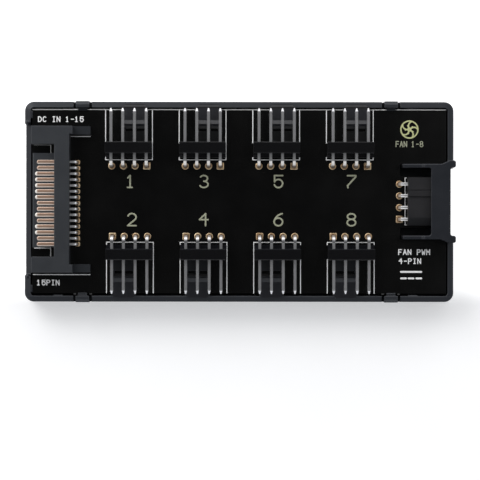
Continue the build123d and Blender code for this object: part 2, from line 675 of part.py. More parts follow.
def main():
    os.makedirs("parts", exist_ok=True)
    legs, tails = leg_places()
    save("tray", tray())
    save("circuit_board", board(legs, tails))

    header = fan_header()
    pins = pin_row(PIN_REACH, PIN_HEIGHT)
    for number, place in header_places().items():
        save(f"fan_header_{number}", place * header)
        save(f"fan_pins_{number}", [place * pin for pin in pins])

    reach = CONTROL_FRONT - CONTROL_PIN_SHORT - CONTROL_LEG_X
    control_pins = [control_place() * pin for pin in pin_row(reach, CONTROL_PIN_HEIGHT)]
    save("control_header", control_header(control_pins))
    save("control_pins", control_pins)

    short_contacts = power_contacts(CONTACT_SHORT, "S")
    long_contacts = power_contacts(CONTACT_LONG, "L")
    save("power_connector", power_connector(short_contacts + long_contacts))
    save("power_contacts_short", short_contacts)
    save("power_contacts_long", long_contacts)

    for name, x in (("signal_buffer", BUFFER_CHIP_X), ("power_switch", SWITCH_CHIP_X)):
        save(name + "_chip", chip(x))
        save(name + "_leads", chip_leads(x))
    save("resettable_fuse", under_board(FUSE_SIZE, FUSE_X, 0))
    save("bulk_capacitors", [under_board(BULK_SIZE, x, 0) for x in BULK_X])
    save("chip_resistors", small_parts(RESISTOR_X))
    save("chip_capacitors", small_parts(CERAMIC_X))
    save("magnet_left", magnet(-MAGNET_X))
    save("magnet_right", magnet(MAGNET_X))


main()
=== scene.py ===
"""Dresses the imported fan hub: pads and printing on its board, finishes on every piece, studio light and camera."""
import json
import math

import bpy
import numpy as np
from mathutils import Matrix, Vector


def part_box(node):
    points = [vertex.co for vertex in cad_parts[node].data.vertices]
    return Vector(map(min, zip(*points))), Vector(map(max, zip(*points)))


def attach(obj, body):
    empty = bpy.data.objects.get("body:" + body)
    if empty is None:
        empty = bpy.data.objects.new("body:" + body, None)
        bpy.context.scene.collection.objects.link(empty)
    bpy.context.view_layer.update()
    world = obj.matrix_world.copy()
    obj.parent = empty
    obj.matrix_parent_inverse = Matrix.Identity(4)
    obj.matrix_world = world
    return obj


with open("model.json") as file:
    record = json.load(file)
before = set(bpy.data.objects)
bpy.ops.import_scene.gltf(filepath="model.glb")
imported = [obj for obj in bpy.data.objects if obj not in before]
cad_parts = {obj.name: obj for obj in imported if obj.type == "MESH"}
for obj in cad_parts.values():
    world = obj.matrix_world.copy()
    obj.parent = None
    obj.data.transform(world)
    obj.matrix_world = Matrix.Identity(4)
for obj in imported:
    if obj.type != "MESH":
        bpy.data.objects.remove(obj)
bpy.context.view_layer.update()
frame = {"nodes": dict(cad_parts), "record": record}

MM = 0.001

# Levels and places read from the frame, in metres
BOARD_LOW, BOARD_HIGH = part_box("circuit_board")
BOARD_TOP = BOARD_HIGH.z
PIN_PITCH = 2.54 * MM
CONTACT_PITCH = 1.27 * MM

# Printing and pads, in metres
PRINT_HEIGHT = 0.03 * MM
PRINT_SINK = 0.005 * MM
OUTLINE_WIDTH = 0.2 * MM
CONTROL_LINE_WIDTH = 0.18 * MM
OUTLINE_HALF = 5.08 * MM
OUTLINE_SHIFT = {1: -0.06 * MM, 0: 0.0}        # odd and even headers
OUTLINE_REAR = {1: 1.35 * MM, 0: 1.28 * MM}     # from the row of legs to the rear line
OUTLINE_TICK = 0.5 * MM         # short end of the side that is broken at the block's foot
BROKEN_BOTH = (5, 7, 8)         # headers whose outline is broken on both sides
BLOCK_FRONT = 5.0 * MM          # from the row of legs to the block's front
NUMERAL_HEIGHT = 2.62 * MM
NUMERAL_WIDTH = 0.36 * MM
NUMERAL_LEFT = (-24.24 * MM, -8.6 * MM, 7.62 * MM, 23.5 * MM)
NUMERAL_LOW = {1: 3.1 * MM, 0: -5.2 * MM}       # odd and even headers
LEGEND_HEIGHT = 1.06 * MM
LEGEND_WIDTH = 0.23 * MM
LEGEND_PITCH = 1.01 * MM
LEGEND_NARROW = 0.9
PAD_RADIUS = 0.78 * MM
PAD_HOLE = 0.48 * MM
PAD_HEIGHT = 0.06 * MM
TAIL_PAD = (0.58 * MM, 0.49 * MM)
TAIL_HOLE = 0.33 * MM

# Legends on the board, each with the place of its first letter in metres
LEGENDS = (
    ("DC IN 1-15", -43.65 * MM, 17.38 * MM),
    ("15PIN", -43.8 * MM, -18.12 * MM),
    ("FAN PWM", 34.7 * MM, -11.42 * MM),
    ("4-PIN", 34.8 * MM, -13.38 * MM),
)

# Bands of finish and of painted light and shade, each between two places along Y in metres
PALE_TIP = (20.58 * MM, 20.97 * MM)         # odd tongues, from the tip to the ridge: painted light
ODD_FACE = (17.66 * MM, 20.3 * MM)
ODD_RIDGE = (16.39 * MM, 17.66 * MM)
EVEN_FACE = (-21.2 * MM, -17.42 * MM)       # even tongues, from the tip to the root
EVEN_RIDGE = (-17.42 * MM, -16.15 * MM)
EVEN_TOE = (-16.15 * MM, -15.56 * MM)
EVEN_ROOT = (-15.5 * MM, -10.0 * MM)
ODD_BEND_HIGHLIGHT = (7.80 * MM, 8.75 * MM)        # odd pins: painted highlight, matt white on the bend
LEG_ROWS = (-7.60 * MM, 7.80 * MM)          # legs of both rows, down to their holes: painted shade
EVEN_BEND_SHADE = (-8.90 * MM, -8.15 * MM)        # even pins: painted shade on the bend
WALL_LIP_HIGHLIGHT = (-20.74 * MM, -20.42 * MM)       # inner edge of the -Y wall: painted highlight

# Camera: straight down, standing a little towards -Y from the middle
CAMERA_X = 0.2 * MM
CAMERA_Y = -8.3 * MM
CAMERA_HEIGHT = 613.6 * MM
CAMERA_LENS = 211.7
CAMERA_TURN = 0.0012            # radians about the line of sight
SENSOR = 36.0

# Lights: name, place, the point it turns to and its size, in metres, and its power in watts
LIGHTS = (
    ("key", (-0.34, 0.36, 0.48), (0, 0, 0.01), (0.36, 0.36), 1.35),
    ("fill_high", (-0.03, 0.11, 0.09), (0, 0, 0.008), (0.30, 0.05), 0.035),
    ("strip_high", (0.10, 0.27, 0.52), (0.02, 0.01, 0.01), (0.34, 0.06), 0.04),
    ("strip_low", (0, -0.30, 0.52), (0, -0.01, 0.01), (0.5, 0.06), 0.08),
    ("strip_right", (0.31, 0.06, 0.50), (0.01, 0.01, 0.01), (0.06, 0.4), 0.10),
    ("strip_left", (-0.46, 0, 0.46), (-0.04, 0, 0.01), (0.06, 0.4), 0.06),
)


# Meshes

def surface_piece(name, points, round_u=False, round_v=False):
    """Puts a stack of grids into one mesh: each grid cell of four neighbours is a face.

    points has the shape (copies, rows, columns, 3). round_u joins the last row to the first,
    round_v the last column to the first.
    """
    copies, rows, columns, _ = points.shape
    index = np.arange(copies * rows * columns).reshape(copies, rows, columns)
    if round_u:
        index = np.concatenate([index, index[:, :1]], 1)
    if round_v:
        index = np.concatenate([index, index[:, :, :1]], 2)
    corners = np.stack([index[:, :-1, :-1], index[:, 1:, :-1], index[:, 1:, 1:], index[:, :-1, 1:]], -1)
    mesh = bpy.data.meshes.new(name)
    flat = corners.reshape(-1)
    mesh.vertices.add(points.size // 3)
    mesh.vertices.foreach_set("co", points.reshape(-1).astype(np.float32))
    mesh.loops.add(flat.size)
    mesh.loops.foreach_set("vertex_index", flat.astype(np.int32))
    mesh.polygons.add(flat.size // 4)
    mesh.polygons.foreach_set("loop_start", np.arange(0, flat.size, 4, dtype=np.int32))
    mesh.polygons.foreach_set("use_smooth", np.ones(flat.size // 4, dtype=bool))
    mesh.update(calc_edges=True)
    mesh.validate()
    piece = bpy.data.objects.new(name, mesh)
    bpy.context.scene.collection.objects.link(piece)
    return piece


def dress(piece, material):
    """Rides a new piece on the one body and gives it its finish."""
    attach(piece, "root")
    piece.data.materials.clear()
    piece.data.materials.append(material)
    return piece


# Strokes: every line, numeral and letter is a set of straight and round strokes

STROKE_STEPS = 29
CAP_STEPS = 7
CROWN_STEPS = 7


def line(x0, y0, x1, y1):
    """Straight stroke: points spaced evenly from one end to the other."""
    t = np.linspace(0, 1, STROKE_STEPS)
    return np.stack([x0 + (x1 - x0) * t, y0 + (y1 - y0) * t], -1)


def arc(x, y, rx, ry, start, end):
    """Round stroke: part of an ellipse about (x, y), between two angles in degrees."""
    a = np.radians(np.linspace(start, end, STROKE_STEPS))
    return np.stack([x + rx * np.cos(a), y + ry * np.sin(a)], -1)


GLYPHS = {
    "1": [line(0.02, 0.80, 0.21, 1.0), line(0.21, 1.0, 0.21, 0.0), line(0.0, 0.0, 0.37, 0.0)],
    "2": [arc(0.36, 0.70, 0.34, 0.30, 160, -38), line(0.63, 0.51, 0.0, 0.0), line(0.0, 0.0, 0.70, 0.0)],
    "3": [arc(0.35, 0.76, 0.31, 0.24, 150, -90), arc(0.35, 0.26, 0.35, 0.26, 90, -155)],
    "4": [line(0.50, 0.0, 0.50, 1.0), line(0.50, 1.0, 0.0, 0.50), line(0.0, 0.50, 0.70, 0.50)],
    "5": [line(0.70, 1.0, 0.03, 1.0), line(0.03, 1.0, 0.03, 0.49), arc(0.35, 0.34, 0.35, 0.34, 155, -162)],
    "6": [arc(0.35, 0.32, 0.35, 0.32, 0, 360), arc(0.86, 0.27, 0.86, 0.75, 103, 172)],
    "7": [line(0.02, 1.0, 0.71, 1.0), line(0.71, 1.0, 0.69, 0.88), line(0.69, 0.88, 0.03, 0.17),
          line(0.03, 0.17, 0.06, 0.0)],
    "8": [arc(0.35, 0.77, 0.33, 0.23, 0, 360), arc(0.35, 0.27, 0.35, 0.27, 0, 360)],
    "A": [line(0.0, 0.0, 0.35, 1.0), line(0.35, 1.0, 0.70, 0.0), line(0.12, 0.34, 0.58, 0.34)],
    "C": [arc(0.36, 0.5, 0.36, 0.5, 48, 312)],
    "D": [line(0.0, 0.0, 0.0, 1.0), line(0.0, 1.0, 0.22, 1.0), arc(0.22, 0.5, 0.46, 0.5, 90, -90),
          line(0.22, 0.0, 0.0, 0.0)],
    "F": [line(0.0, 0.0, 0.0, 1.0), line(0.0, 1.0, 0.66, 1.0), line(0.0, 0.5, 0.54, 0.5)],
    "I": [line(0.35, 0.0, 0.35, 1.0), line(0.16, 1.0, 0.54, 1.0), line(0.16, 0.0, 0.54, 0.0)],
    "M": [line(0.0, 0.0, 0.0, 1.0), line(0.0, 1.0, 0.35, 0.4), line(0.35, 0.4, 0.70, 1.0), line(0.70, 1.0, 0.70, 0.0)],
    "N": [line(0.0, 0.0, 0.0, 1.0), line(0.0, 1.0, 0.68, 0.0), line(0.68, 0.0, 0.68, 1.0)],
    "P": [line(0.0, 0.0, 0.0, 1.0), line(0.0, 1.0, 0.36, 1.0), arc(0.36, 0.74, 0.32, 0.26, 90, -90),
          line(0.36, 0.48, 0.0, 0.48)],
    "W": [line(0.0, 1.0, 0.17, 0.0), line(0.17, 0.0, 0.36, 0.6), line(0.36, 0.6, 0.55, 0.0),
          line(0.55, 0.0, 0.72, 1.0)],
    "-": [line(0.1, 0.5, 0.60, 0.5)],
    " ": [],
}


def written(text, x, y, height, pitch, narrow=1.0):
    """Strokes of a line of text whose first letter stands at (x, y), scaled to the given cap height."""
    size = np.array([height * narrow, height])
    return [
        stroke * size + np.array([x + i * pitch, y])
        for i, letter in enumerate(text) for stroke in GLYPHS[letter]
    ]


def print_piece(name, strokes, width, base):
    """Raised ink along each stroke.

    The path runs down the middle. Across it the ink is half an ellipse: full width at the foot and
    crowned in the middle. Past each end the width closes along a quarter circle, which rounds the end.
    """
    path = np.stack(strokes)
    heading = np.gradient(path, axis=1)
    heading /= np.linalg.norm(heading, axis=-1, keepdims=True)
    cap = np.linspace(0, np.pi / 2, CAP_STEPS + 1)[:-1]
    head = path[:, :1] - heading[:, :1] * (np.cos(cap) * width / 2)[:, None]
    tail = path[:, -1:] + heading[:, -1:] * (np.cos(cap[::-1]) * width / 2)[:, None]
    spine = np.concatenate([head, path, tail], 1)
    steps = np.concatenate([np.sin(cap), np.ones(path.shape[1]), np.sin(cap[::-1])])
    first, last = np.repeat(heading[:, :1], CAP_STEPS, 1), np.repeat(heading[:, -1:], CAP_STEPS, 1)
    ahead = np.concatenate([first, heading, last], 1)
    across = np.stack([-ahead[..., 1], ahead[..., 0]], -1)
    lean = np.linspace(-np.pi / 2, np.pi / 2, CROWN_STEPS)
    side = np.sin(lean) * width / 2
    rise = np.cos(lean) * (PRINT_HEIGHT + PRINT_SINK)
    flat = spine[:, :, None] + across[:, :, None] * (steps[:, None] * side)[None, ..., None]
    level = np.broadcast_to(base - PRINT_SINK + np.sqrt(steps)[:, None] * rise, flat.shape[:-1])
    points = np.concatenate([flat, level[..., None]], -1)
    return surface_piece(name, points)


# Pads

PAD_STEPS = 40


def pad_piece(name, centres, half_x, half_y, hole, squareness):
    """Plated pads, each a ring with a rounded section.

    Its outline is a superellipse: with an exponent of 2 it is an ellipse, and with a high one a
    rectangle with soft corners. From the rim the section rises to the pad's height, runs level and
    dips into the hole. squareness gives the exponent of each pad.
    """
    angle = np.linspace(0, 2 * np.pi, PAD_STEPS, endpoint=False)
    power = np.asarray(squareness)[:, None]
    reach = (np.abs(np.cos(angle)) ** power + np.abs(np.sin(angle)) ** power) ** (-1 / power)
    rim = np.stack([half_x * reach * np.cos(angle), half_y * reach * np.sin(angle)], -1)
    bore = np.broadcast_to(hole * np.stack([np.cos(angle), np.sin(angle)], -1), rim.shape)
    out = np.array([1.0, 0.97, 0.88, 0.55, 0.2, 0.05, 0.0])
    rise = np.array([-0.2, 0.6, 1.0, 1.0, 0.9, 0.5, -0.2]) * PAD_HEIGHT
    ring = bore[:, None] + (rim - bore)[:, None] * out[:, None, None]
    place = np.asarray(centres)[:, None, None]
    level = np.broadcast_to((BOARD_TOP + rise)[None, :, None, None], ring.shape[:-1] + (1,))
    points = np.concatenate([ring + place, level], -1)
    return surface_piece(name, points, round_v=True)


def well_piece(name, centres, radius):
    """Dark mouths of the plated holes, painted as shade: flat discs just over the board, drawn as rings that close on
    the middle.
    """
    angle = np.linspace(0, 2 * np.pi, PAD_STEPS, endpoint=False)
    rings = np.array([1.0, 0.5, 0.02]) * radius
    disc = rings[:, None, None] * np.stack([np.cos(angle), np.sin(angle)], -1)
    place = np.asarray(centres)[:, None, None]
    flat = disc[None] + place
    level = np.full(flat.shape[:-1] + (1,), BOARD_TOP + PRINT_SINK)
    return surface_piece(name, np.concatenate([flat, level], -1), round_v=True)


# Materials

def finish(name):
    """New node material with a Principled shader, its coordinates and a place to add nodes."""
    material = bpy.data.materials.new(name)
    material.use_nodes = True
    nodes = material.node_tree.nodes
    shader = nodes["Principled BSDF"]
    place = nodes.new("ShaderNodeTexCoord")
    return material, shader, place


def link(material, output, target):
    """Joins a node's output to an input."""
    material.node_tree.links.new(output, target)


def noise(material, place, scale, detail=2.0, stretch=None):
    """Noise on Object coordinates, in cycles per metre, stretched along an axis if asked."""
    nodes = material.node_tree.nodes
    texture = nodes.new("ShaderNodeTexNoise")
    texture.inputs["Scale"].default_value = scale
    texture.inputs["Detail"].default_value = detail
    source = place.outputs["Object"]
    if stretch:
        mapping = nodes.new("ShaderNodeMapping")
        mapping.inputs["Scale"].default_value = stretch
        link(material, source, mapping.inputs["Vector"])
        source = mapping.outputs["Vector"]
    link(material, source, texture.inputs["Vector"])
    return texture.outputs["Fac"]


def mapped(material, value, start, end, low=0.0, high=1.0, smooth=False):
    """Maps the range from start to end to the range from low to high, and keeps to its ends beyond them."""
    node = material.node_tree.nodes.new("ShaderNodeMapRange")
    if smooth:
        node.interpolation_type = "SMOOTHSTEP"
    for socket, setting in zip(("From Min", "From Max", "To Min", "To Max"), (start, end, low, high)):
        node.inputs[socket].default_value = setting
    link(material, value, node.inputs["Value"])
    return node.outputs["Result"]


def coordinate(material, vector, axis):
    """One coordinate of a vector."""
    split = material.node_tree.nodes.new("ShaderNodeSeparateXYZ")
    link(material, vector, split.inputs["Vector"])
    return split.outputs[axis]


def computed(material, operation, first, second=None):
    """Result of a sum with a node's output. The second value is a plain number or another output."""
    node = material.node_tree.nodes.new("ShaderNodeMath")
    node.operation = operation
    link(material, first, node.inputs[0])
    if isinstance(second, float):
        node.inputs[1].default_value = second
    elif second is not None:
        link(material, second, node.inputs[1])
    return node.outputs[0]


def spread(material, value, low, high):
    """Maps a noise of 0.3 to 0.7 to a range of numbers."""
    return mapped(material, value, 0.3, 0.7, low, high)


def scaled(material, value, low, high):
    """Maps a number of 0 to 1 to a range of numbers."""
    return mapped(material, value, 0.0, 1.0, low, high)


def product(material, first, second):
    """Product of two numbers."""
    return computed(material, "MULTIPLY", first, second)


def larger(material, first, second):
    """Larger of two numbers."""
    return computed(material, "MAXIMUM", first, second)


def along(material, place, axis, low, high):
    """Number that grows from 0 to 1 between two places along an axis of the hub."""
    return mapped(material, coordinate(material, place.outputs["Object"], axis), low, high, smooth=True)


def away(material, place, axis, low, high):
    """Number that grows from 0 to 1 between two distances from the middle, the same on both sides of it."""
    distance = computed(material, "ABSOLUTE", coordinate(material, place.outputs["Object"], axis))
    return mapped(material, distance, low, high)


def band(material, place, axis, low, high, soft=0.04 * MM):
    """Number that is 1 between two places along an axis of the hub and 0 beyond them."""
    after = along(material, place, axis, low - soft, low + soft)
    before = along(material, place, axis, high + soft, high - soft)
    return product(material, after, before)


def beside(material, place, axis, middle, pitch, low, high):
    """Number that grows from 0 to 1 between two distances from the nearest of a row of evenly spaced lines."""
    shift = computed(material, "SUBTRACT", coordinate(material, place.outputs["Object"], axis), middle)
    distance = computed(material, "PINGPONG", shift, pitch / 2)
    return mapped(material, distance, low, high)


def tint(material, value, low, high):
    """Colour between two tones, chosen by a noise."""
    node = material.node_tree.nodes.new("ShaderNodeValToRGB")
    node.color_ramp.elements[0].position = 0.3
    node.color_ramp.elements[0].color = (*low, 1)
    node.color_ramp.elements[1].position = 0.7
    node.color_ramp.elements[1].color = (*high, 1)
    link(material, value, node.inputs["Fac"])
    return node.outputs["Color"]


def blend(material, factor, first, second):
    """Mix of two colours."""
    node = material.node_tree.nodes.new("ShaderNodeMix")
    node.data_type = "RGBA"
    link(material, factor, node.inputs["Factor"])
    link(material, first, node.inputs["A"])
    link(material, second, node.inputs["B"])
    return node.outputs["Result"]


def softened(material, edge):
    """Normal of the surface with its edges rounded to the given radius in metres."""
    bevel = material.node_tree.nodes.new("ShaderNodeBevel")
    bevel.samples = 8
    bevel.inputs["Radius"].default_value = edge
    return bevel.outputs["Normal"]


def turned(material, normal, low, high):
    """Number that grows from 0 to 1 as a normal turns towards +Y, where the light is strongest."""
    return mapped(material, coordinate(material, normal, "Y"), low, high)


def worn(material, normal):
    """Number that is 0 on flat faces and grows to 1 where the softened normal leaves the face's own."""
    nodes = material.node_tree.nodes
    flat = nodes.new("ShaderNodeNewGeometry")
    match = nodes.new("ShaderNodeVectorMath")
    match.operation = "DOT_PRODUCT"
    link(material, normal, match.inputs[0])
    link(material, flat.outputs["True Normal"], match.inputs[1])
    return mapped(material, match.outputs["Value"], 1.0, 0.94)


def grain(material, shader, value, depth, edge=0.0):
    """Bump of the given depth in metres, on top of softened edges if an edge radius is given."""
    nodes = material.node_tree.nodes
    bump = nodes.new("ShaderNodeBump")
    bump.inputs["Strength"].default_value = 1.0
    bump.inputs["Distance"].default_value = depth
    link(material, value, bump.inputs["Height"])
    if edge:
        bevel = nodes.new("ShaderNodeBevel")
        bevel.samples = 6
        bevel.inputs["Radius"].default_value = edge
        link(material, bevel.outputs["Normal"], bump.inputs["Normal"])
    link(material, bump.outputs["Normal"], shader.inputs["Normal"])


# Finishes

COOL = (0.84, 0.91, 1.0, 1.0)
FRESH = (0.93, 0.96, 1.0, 1.0)


def moulded(name, dark, light, rough_low, rough_high, grain_scale, grain_depth, edge):
    """Moulded plastic: slight clouds of tone and gloss, and a fine eroded grain."""
    material, shader, place = finish(name)
    shader.inputs["Specular Tint"].default_value = COOL
    clouds = noise(material, place, 260, 3)
    fine = noise(material, place, grain_scale, 3)
    link(material, tint(material, clouds, dark, light), shader.inputs["Base Color"])
    link(material, spread(material, clouds, rough_low, rough_high), shader.inputs["Roughness"])
    grain(material, shader, fine, grain_depth, edge)
    return material


def tray_plastic(name):
    """Tray's black: satin with a fine grain, with painted highlights on the edges turned to the light, and a lighter
    tone of painted light on the hooks and long walls above the board and on one wall's inner lip.
    """
    material, shader, place = finish(name)
    shader.inputs["Specular Tint"].default_value = FRESH
    clouds = noise(material, place, 260, 3)
    fine = noise(material, place, 4200, 3)
    soft = softened(material, 0.35 * MM)
    lit = product(material, worn(material, soft), turned(material, soft, -0.1, 0.3))
    body = tint(material, clouds, (0.0096, 0.0110, 0.0146), (0.0118, 0.0132, 0.0168))
    # Painted highlight: a pale tone on the edges turned towards +Y.
    pale = tint(material, clouds, (0.062, 0.065, 0.072), (0.074, 0.077, 0.084))
    # Lighter tone of painted light, laid on the hooks and the long walls above the board and, as a painted highlight,
    # on the -Y wall's inner lip.
    painted_light_tone = tint(material, clouds, (0.019, 0.021, 0.025), (0.023, 0.025, 0.029))
    hooks = product(material, away(material, place, "Y", 18.9 * MM, 19.0 * MM),
                    along(material, place, "Z", BOARD_TOP + 0.5 * MM, BOARD_TOP + 0.6 * MM))
    body = blend(material, hooks, body, painted_light_tone)
    # Painted highlight along the inner lip of the -Y wall.
    lip = band(material, place, "Y", *WALL_LIP_HIGHLIGHT)
    body = blend(material, lip, body, painted_light_tone)
    link(material, blend(material, lit, body, pale), shader.inputs["Base Color"])
    link(material, spread(material, clouds, 0.34, 0.40), shader.inputs["Roughness"])
    shader.inputs["Specular IOR Level"].default_value = 0.4
    grain(material, shader, fine, 0.004 * MM, 0.2 * MM)
    return material


def plated(name, dark, light, rough_low, rough_high, streak, edge):
    """Plated metal: tone and gloss vary along fine drawing lines."""
    material, shader, place = finish(name)
    shader.inputs["Metallic"].default_value = 1.0
    lines = noise(material, place, 1, 4, streak)
    link(material, tint(material, lines, dark, light), shader.inputs["Base Color"])
    link(material, spread(material, lines, rough_low, rough_high), shader.inputs["Roughness"])
    grain(material, shader, lines, 0.0002 * MM, edge)
    return material


def gold_to_tin(name):
    """Contacts with gold flash on the blade and bright tin on the tails behind the block, with painted highlights:
    paler rims on the blade, rougher and less metallic there, and paler still at its tips; and painted shade along the
    tails' sides.
    """
    material, shader, place = finish(name)
    lines = noise(material, place, 1, 3, (400, 2600, 2600))
    gold = tint(material, lines, (0.68, 0.43, 0.31), (0.76, 0.51, 0.38))
    # Painted highlight: a paler tone on the blade's rims.
    pale = tint(material, lines, (0.86, 0.76, 0.66), (0.92, 0.82, 0.72))
    tin = tint(material, lines, (0.86, 0.86, 0.86), (0.94, 0.94, 0.94))
    # Painted shade along the sides of the tails.
    shade = tint(material, lines, (0.05, 0.05, 0.05), (0.08, 0.08, 0.08))
    low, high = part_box("power_contacts_short")
    row = ("Y", (low.y + high.y) / 2 + 0.07 * MM, CONTACT_PITCH)
    rim = beside(material, place, *row, 0.24 * MM, 0.34 * MM)
    row = ("Y", (low.y + high.y) / 2, CONTACT_PITCH)
    side = beside(material, place, *row, 0.18 * MM, 0.25 * MM)
    behind = along(material, place, "X", -38.5 * MM, -37.0 * MM)
    outward = along(material, place, "X", -43.45 * MM, -43.85 * MM)
    rim_and_tip = larger(material, rim, outward)
    # Painted highlight: the whitest tone, at the blade's tips.
    tip = tint(material, lines, (1.0, 0.94, 0.86), (1.0, 0.97, 0.91))
    blade = blend(material, outward, blend(material, rim, gold, pale), tip)
    tail = blend(material, side, tin, shade)
    link(material, blend(material, behind, blade, tail), shader.inputs["Base Color"])
    link(material, scaled(material, rim_and_tip, 0.34, 0.42), shader.inputs["Roughness"])
    link(material, scaled(material, rim_and_tip, 1.0, 0.25), shader.inputs["Metallic"])
    grain(material, shader, lines, 0.00002 * MM, 0.16 * MM)
    return material


def dipped_tin(name):
    """Bright tin on the straight of the pins, with painted shade at the corners and on the even row's bends, a painted
    highlight of matt white on the odd row's bends, and painted shade on the legs down to their holes.
    """
    material, shader, place = finish(name)
    lines = noise(material, place, 1, 4, (3000, 300, 3000))
    height = along(material, place, "Z", BOARD_TOP + 3.45 * MM, BOARD_TOP + 3.8 * MM)
    bright = tint(material, lines, (0.93, 0.93, 0.94), (0.98, 0.98, 0.99))
    # Painted shade on the pins' corners and on the even row's bends.
    painted_shade_tin = tint(material, lines, (0.34, 0.34, 0.35), (0.40, 0.40, 0.41))
    rim = worn(material, softened(material, 0.1 * MM))
    # Painted highlight: matt white on the odd row's bends.
    white = tint(material, lines, (0.97, 0.94, 0.89), (1.0, 0.98, 0.93))
    # Painted shade on the legs down to their holes.
    shade = tint(material, lines, (0.30, 0.26, 0.22), (0.38, 0.34, 0.29))
    odd_bend_highlight = band(material, place, "Y", *ODD_BEND_HIGHLIGHT)
    hole = band(material, place, "Y", *LEG_ROWS)
    bend = band(material, place, "Y", *EVEN_BEND_SHADE)
    straight = blend(material, larger(material, rim, bend), bright, painted_shade_tin)
    leg = blend(material, hole, blend(material, odd_bend_highlight, straight, white), shade)
    link(material, leg, shader.inputs["Base Color"])
    matt = larger(material, larger(material, odd_bend_highlight, hole), scaled(material, height, 1.0, 0.0))
    link(material, scaled(material, matt, 1.0, 0.0), shader.inputs["Metallic"])
    link(material, scaled(material, matt, 0.275, 0.42), shader.inputs["Roughness"])
    grain(material, shader, lines, 0.0001 * MM)
    return material


def edged_tin(name):
    """Tin on the control input's legs, with painted light: grey on the flats as a painted dark reflection, a painted
    highlight along the rims, and painted shade where they go down to their holes.
    """
    material, shader, place = finish(name)
    lines = noise(material, place, 1, 3, (300, 3000, 3000))
    # Painted dark reflection on the flats, painted highlight on the rims, painted shade by the holes.
    flat = tint(material, lines, (0.22, 0.22, 0.23), (0.30, 0.30, 0.31))
    pale = tint(material, lines, (0.96, 0.96, 0.95), (1.0, 1.0, 0.99))
    shade = tint(material, lines, (0.40, 0.33, 0.27), (0.48, 0.41, 0.34))
    low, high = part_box("control_pins")
    row = ("Y", (low.y + high.y) / 2 + PIN_PITCH / 2, PIN_PITCH)
    rim = beside(material, place, *row, 0.08 * MM, 0.2 * MM)
    out = along(material, place, "X", low.x + 0.38 * MM, low.x + 0.54 * MM)
    link(material, blend(material, out, shade, blend(material, rim, flat, pale)), shader.inputs["Base Color"])
    link(material, spread(material, lines, 0.40, 0.46), shader.inputs["Roughness"])
    grain(material, shader, lines, 0.0001 * MM)
    return material


def header_black(name):
    """Connector plastic: satin on the tongue, low gloss on the foot, darker and glossier towards the block's top, with
    painted light: lighter tones on the low faces of the tongues and the even roots, on the ridges and on the foot,
    lighter on the odd row, and the palest on the odd tongues' tips.
    """
    material, shader, place = finish(name)
    clouds = noise(material, place, 260, 3)
    fine = noise(material, place, 4200, 3)
    low = tint(material, clouds, (0.0026, 0.0026, 0.0030), (0.0034, 0.0034, 0.0038))
    high = tint(material, clouds, (0.0028, 0.0028, 0.0034), (0.0036, 0.0036, 0.0042))
    rise = along(material, place, "Z", BOARD_TOP + 3.0 * MM, BOARD_TOP + 5.5 * MM)
    # Painted light: the palest tone, on the odd tongues' tips.
    pale = tint(material, clouds, (0.050, 0.050, 0.053), (0.060, 0.060, 0.063))
    front = band(material, place, "Y", *PALE_TIP)
    body = blend(material, rise, low, high)
    # Painted light: a lighter tone on the low faces of the tongues and the even roots, and on the even row's foot.
    faint = tint(material, clouds, (0.0102, 0.0106, 0.0134), (0.0122, 0.0126, 0.0156))
    # Painted light on the ridges.
    grey = tint(material, clouds, (0.0235, 0.0245, 0.0280), (0.0295, 0.0305, 0.0340))
    faces = larger(material, band(material, place, "Y", *ODD_FACE), band(material, place, "Y", *EVEN_FACE))
    root = band(material, place, "Y", *EVEN_ROOT)
    ridges = larger(material, band(material, place, "Y", *ODD_RIDGE), band(material, place, "Y", *EVEN_RIDGE))
    under = scaled(material, rise, 1.0, 0.0)
    body = blend(material, product(material, under, larger(material, faces, root)), body, faint)
    body = blend(material, ridges, body, grey)
    # Painted light on the foot behind the block, lighter on the odd row.
    odd = along(material, place, "Y", -1.0 * MM, 1.0 * MM)
    foot = blend(material, odd, faint, tint(material, clouds, (0.013, 0.013, 0.014), (0.017, 0.017, 0.018)))
    ahead = away(material, place, "Y", 10.1 * MM, 10.6 * MM)
    body = blend(material, ahead, foot, body)
    link(material, blend(material, front, body, pale), shader.inputs["Base Color"])
    link(material, scaled(material, rise, 0.30, 0.20), shader.inputs["Roughness"])
    toe = band(material, place, "Y", *EVEN_TOE)
    gloss = product(material, ahead, scaled(material, toe, 1.0, 0.2))
    link(material, scaled(material, gloss, 0.12, 0.5), shader.inputs["Specular IOR Level"])
    grain(material, shader, fine, 0.002 * MM, 0.05 * MM)
    return material


def housing_grey(name):
    """Control input's housing: matt grey-black, with painted shade darker down its sloped side."""
    material, shader, place = finish(name)
    shader.inputs["Specular IOR Level"].default_value = 0.25
    clouds = noise(material, place, 420, 3)
    fine = noise(material, place, 3600, 3)
    # Painted shade: the darker tone, down the sloped side towards -Y.
    low = tint(material, clouds, (0.0065, 0.0070, 0.0080), (0.0085, 0.0090, 0.0100))
    high = tint(material, clouds, (0.0132, 0.0130, 0.0144), (0.0168, 0.0164, 0.0178))
    rise = along(material, place, "Y", -4.4 * MM, -2.6 * MM)
    link(material, blend(material, rise, low, high), shader.inputs["Base Color"])
    link(material, spread(material, clouds, 0.46, 0.54), shader.inputs["Roughness"])
    grain(material, shader, fine, 0.004 * MM, 0.1 * MM)
    return material


